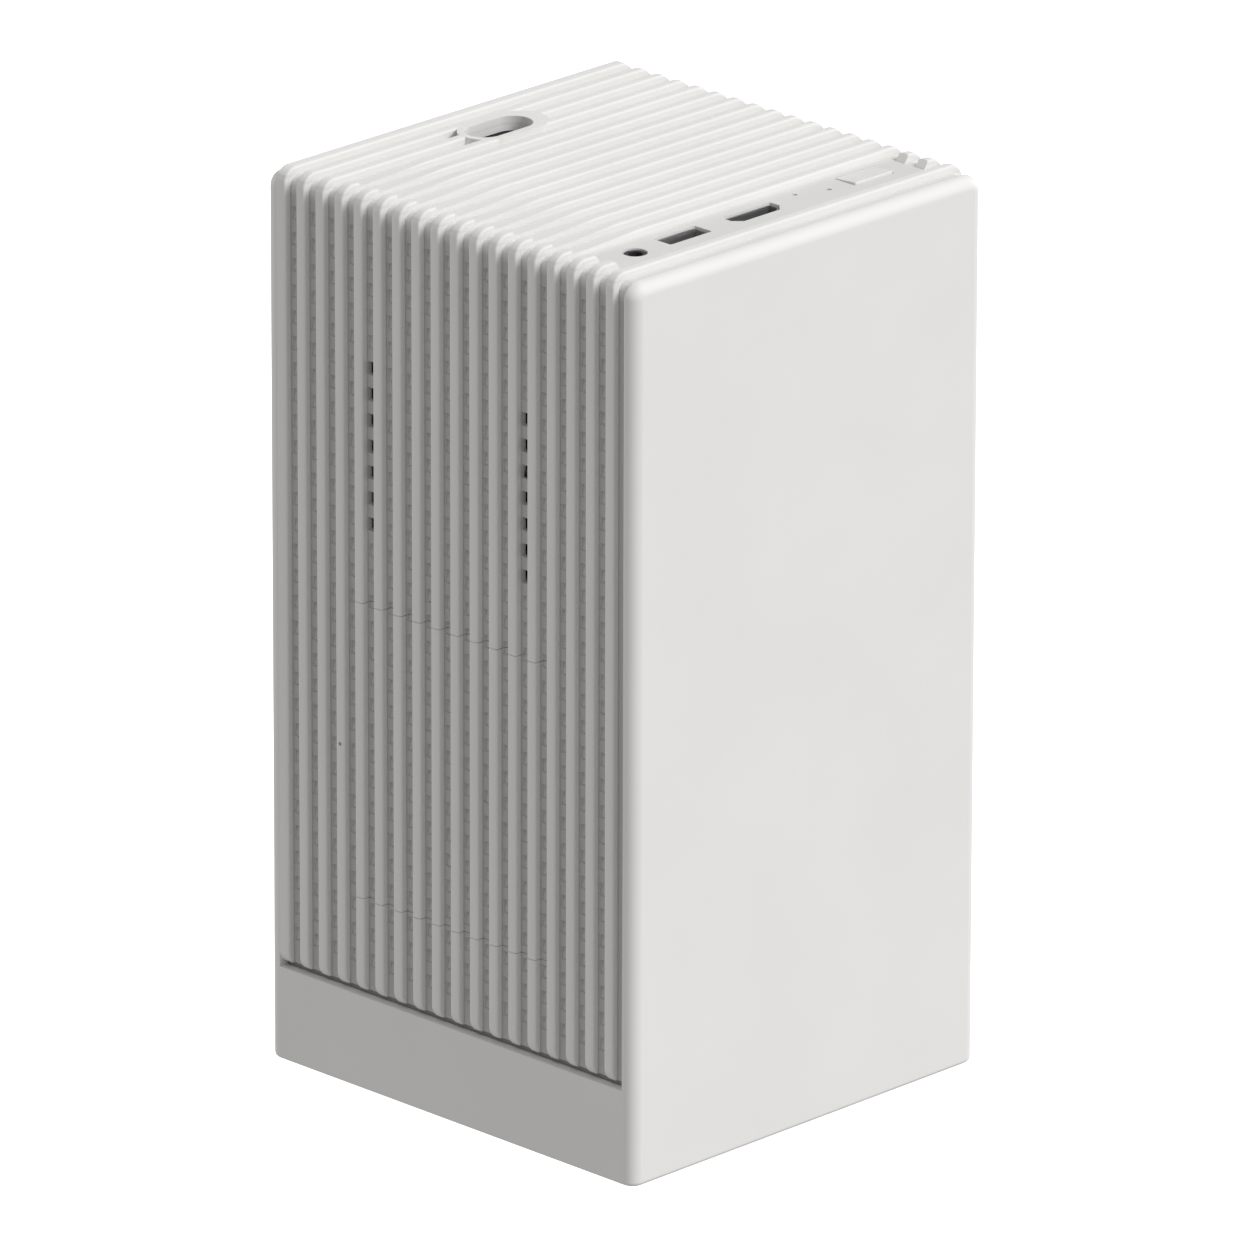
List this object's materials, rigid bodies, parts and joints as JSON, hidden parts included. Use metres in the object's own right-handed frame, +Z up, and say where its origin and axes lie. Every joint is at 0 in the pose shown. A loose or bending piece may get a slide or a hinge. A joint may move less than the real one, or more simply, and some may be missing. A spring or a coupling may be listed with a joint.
{
  "type": "wireless router",
  "caption": "Tower wireless router: smooth U-shaped shell, ribbed hood with a pull-off service hatch, top sockets, power button and internal fan.",
  "frame": {"origin": "centre of the underside, on the surface the tower stands on", "axes": "+Z up; -Y is the plain front plate's side; -X is the ribbed side with the service hatch"},
  "size_m": [0.12, 0.1252, 0.2318],
  "materials": {
    "shell_plastic": "fine-grained matte off-white moulding",
    "hood_plastic": "fine-grained matte off-white moulding, ribbed",
    "button_plastic": "matte off-white",
    "baffle_plastic": "plain moulded sheet",
    "black_plastic": "black moulded",
    "grey_plastic": "mid-grey moulded",
    "white_plastic": "white nylon",
    "foot_rubber": "soft grey-black rubber",
    "circuit_board": "green solder mask",
    "sheet_steel": "zinc-plated sheet",
    "socket_steel": "nickel-plated socket shell",
    "cast_aluminium": "plain aluminium",
    "contact_brass": "plated contact",
    "light_pipe": "frosted clear light pipe"
  },
  "bodies": {
    "tower": {"outer_shell": "shell_plastic", "ribbed_hood": "hood_plastic", "left_baffle": "baffle_plastic", "right_baffle": "baffle_plastic", "audio_jack": "black_plastic", "usb_a_port": "socket_steel", "usb_a_tongue": "white_plastic", "hdmi_port": "socket_steel", "hdmi_tongue": "black_plastic", "status_light_pipe": "light_pipe", "power_switch": "black_plastic", "reset_switch": "black_plastic", "io_board": "circuit_board", "power_inlet": "black_plastic", "inlet_pin_left": "contact_brass", "inlet_pin_right": "contact_brass", "power_board": "circuit_board", "transformer": "black_plastic", "mains_capacitor": "black_plastic", "output_capacitor": "black_plastic", "supply_heat_sink": "cast_aluminium", "inlet_lead": "black_plastic", "supply_connector": "white_plastic", "chassis_frame": "sheet_steel", "board_tray": "cast_aluminium", "main_board": "circuit_board", "processor": "black_plastic", "memory_chip_left": "black_plastic", "memory_chip_right": "black_plastic", "radio_shield_2g": "sheet_steel", "radio_shield_5g": "sheet_steel", "radio_shield_6g": "sheet_steel", "heat_sink": "cast_aluminium", "fan_frame": "black_plastic", "ethernet_block": "grey_plastic", "network_board": "circuit_board", "network_transformer": "black_plastic", "drive_bay": "sheet_steel", "storage_drive": "cast_aluminium", "antenna_front_left": "circuit_board", "antenna_front_right": "circuit_board", "antenna_rear_left": "circuit_board", "antenna_rear_right": "circuit_board", "foot_front_left": "foot_rubber", "base_screw_front_left": "sheet_steel", "fan_screw_front_left": "sheet_steel", "foot_front_right": "foot_rubber", "base_screw_front_right": "sheet_steel", "fan_screw_front_right": "sheet_steel", "foot_rear_left": "foot_rubber", "base_screw_rear_left": "sheet_steel", "fan_screw_rear_left": "sheet_steel", "foot_rear_right": "foot_rubber", "base_screw_rear_right": "sheet_steel", "fan_screw_rear_right": "sheet_steel"},
    "hatch": {"service_hatch": "hood_plastic"},
    "power_button": {"power_button": "button_plastic"},
    "reset_button": {"reset_button": "grey_plastic"},
    "fan_rotor": {"fan_rotor": "black_plastic"}
  },
  "joints": [
    {"name": "hatch_pull", "type": "slide", "parent": "tower", "child": "hatch", "axis": [-1, 0, 0], "range_m": [0, 0.03]},
    {"name": "power_press", "type": "slide", "parent": "tower", "child": "power_button", "axis": [0, 0, -1], "range_m": [0, 0.0008], "stiffness_N_per_m": 600},
    {"name": "reset_press", "type": "slide", "parent": "tower", "child": "reset_button", "axis": [0, 0, -1], "range_m": [0, 0.0004], "stiffness_N_per_m": 600},
    {"name": "fan_spin", "type": "hinge", "parent": "tower", "child": "fan_rotor", "pos_m": [0, 0, 0.04], "axis": [0, 0, 1], "continuous": true}
  ]
}
